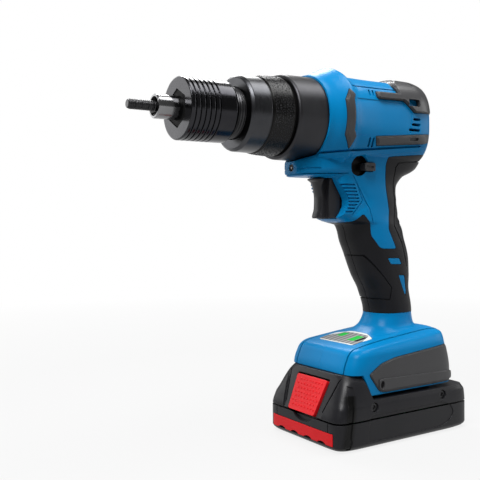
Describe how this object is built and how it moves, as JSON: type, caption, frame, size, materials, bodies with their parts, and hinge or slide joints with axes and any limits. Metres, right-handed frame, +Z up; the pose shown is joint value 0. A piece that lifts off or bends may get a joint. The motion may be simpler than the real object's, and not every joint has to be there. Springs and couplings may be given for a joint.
{
  "type": "battery rivet-nut tool",
  "caption": "Pistol-grip cordless tool that spins a threaded mandrel into a rivet nut and pulls it set, with a slide-on battery pack in the foot.",
  "frame": {"origin": "on the battery's flat bottom face, in the parting plane, under the foot", "axes": "+Z up, spindle along X with the nose towards -X, Y across the tool"},
  "size_m": [0.2392, 0.0756, 0.2441],
  "materials": {
    "bright_steel": "ground steel",
    "black_steel": "black oxide, satin",
    "seal_rubber": "matt",
    "alloy": "die cast",
    "motor_iron": "laminated",
    "copper": "drawn",
    "blue_plastic": "fine texture, semi-gloss",
    "grey_plastic": "satin",
    "grip_rubber": "soft touch",
    "black_plastic": "satin",
    "lens": "clear lens",
    "lead_sleeve": "matt",
    "panel_print": "printed film",
    "battery_plastic": "satin",
    "red_plastic": "moulded, textured",
    "cell_wrap": "shrink film",
    "nickel": "strip",
    "board": "solder mask"
  },
  "bodies": {
    "tool": {"anvil": "black_steel", "anvil_lock_nut": "black_steel", "nose_sleeve": "black_steel", "threaded_stem": "bright_steel", "ring_seal": "seal_rubber", "front_housing": "black_steel", "thrust_bearing": "bright_steel", "carrier_bearing": "bright_steel", "ring_gear": "bright_steel", "gear_housing": "alloy", "gearbox_plate": "alloy", "stator": "motor_iron", "stator_coils": "copper", "motor_bearings": "bright_steel", "left_housing": "blue_plastic", "right_housing": "blue_plastic", "housing_screws": "black_steel", "rear_cover": "grey_plastic", "accent_strips": "grey_plastic", "side_bars": "grey_plastic", "rubber_grips": "grip_rubber", "trigger_switch": "black_plastic", "work_light": "lens", "switch_leads": "lead_sleeve", "motor_controller": "alloy", "terminal_block": "black_plastic", "terminal_blades": "copper", "foot_plates": "grey_plastic", "level_panel": "panel_print"},
    "rotor": {"rotor": "motor_iron", "sun_pinion": "bright_steel", "cooling_fan": "black_plastic"},
    "carrier": {"planet_carrier": "bright_steel", "drive_nut": "bright_steel", "drive_rod": "bright_steel"},
    "planet_1": {"planet_gear_1": "bright_steel"},
    "planet_2": {"planet_gear_2": "bright_steel"},
    "planet_3": {"planet_gear_3": "bright_steel"},
    "puller": {"pull_screw": "bright_steel"},
    "spindle": {"mandrel_chuck": "bright_steel", "pull_mandrel": "bright_steel"},
    "stroke_ring": {"stroke_ring": "black_steel"},
    "trigger": {"trigger": "black_plastic"},
    "selector": {"direction_selector": "black_plastic"},
    "battery": {"battery_lower_case": "battery_plastic", "battery_upper_case": "battery_plastic", "battery_strip": "red_plastic", "battery_screws": "black_steel", "battery_cells": "cell_wrap", "cell_holder": "black_plastic", "cell_straps": "nickel", "battery_board": "board", "battery_contacts": "copper"},
    "release": {"release_button": "red_plastic"}
  },
  "joints": [
    {"name": "rotor_spin", "type": "hinge", "parent": "tool", "child": "rotor", "pos_m": [0, 0, 0.2095], "axis": [1, 0, 0], "continuous": true},
    {"name": "carrier_spin", "type": "hinge", "parent": "tool", "child": "carrier", "pos_m": [-0.05, 0, 0.2095], "axis": [1, 0, 0], "continuous": true},
    {"name": "planet_1_spin", "type": "hinge", "parent": "carrier", "child": "planet_1", "pos_m": [-0.035, 0, 0.1975], "axis": [1, 0, 0], "continuous": true},
    {"name": "planet_2_spin", "type": "hinge", "parent": "carrier", "child": "planet_2", "pos_m": [-0.035, 0.01039, 0.2155], "axis": [1, 0, 0], "continuous": true},
    {"name": "planet_3_spin", "type": "hinge", "parent": "carrier", "child": "planet_3", "pos_m": [-0.035, -0.01039, 0.2155], "axis": [1, 0, 0], "continuous": true},
    {"name": "pull_slide", "type": "slide", "parent": "tool", "child": "puller", "axis": [1, 0, 0], "range_m": [0, 0.007]},
    {"name": "mandrel_spin", "type": "hinge", "parent": "puller", "child": "spindle", "pos_m": [-0.11, 0, 0.2095], "axis": [1, 0, 0], "continuous": true},
    {"name": "stroke_ring_turn", "type": "hinge", "parent": "tool", "child": "stroke_ring", "pos_m": [-0.093, 0, 0.2095], "axis": [1, 0, 0], "range_deg": [0, 330]},
    {"name": "trigger_pull", "type": "slide", "parent": "tool", "child": "trigger", "axis": [1, 0, 0], "range_m": [0, 0.0065], "stiffness_N_per_m": 600},
    {"name": "selector_slide", "type": "slide", "parent": "tool", "child": "selector", "axis": [0, 1, 0], "range_m": [-0.003, 0.003]},
    {"name": "battery_slide", "type": "slide", "parent": "tool", "child": "battery", "axis": [-1, 0, 0], "range_m": [0, 0.095]},
    {"name": "release_press", "type": "slide", "parent": "battery", "child": "release", "axis": [0.906, 0, -0.4232], "range_m": [0, 0.0025], "stiffness_N_per_m": 2000}
  ],
  "couplings": [
    {"joint": "carrier_spin", "follows": "rotor_spin", "ratio": 0.2},
    {"joint": "planet_1_spin", "follows": "rotor_spin", "ratio": -0.53333},
    {"joint": "planet_2_spin", "follows": "rotor_spin", "ratio": -0.53333},
    {"joint": "planet_3_spin", "follows": "rotor_spin", "ratio": -0.53333},
    {"joint": "mandrel_spin", "follows": "rotor_spin", "ratio": 0.2}
  ]
}
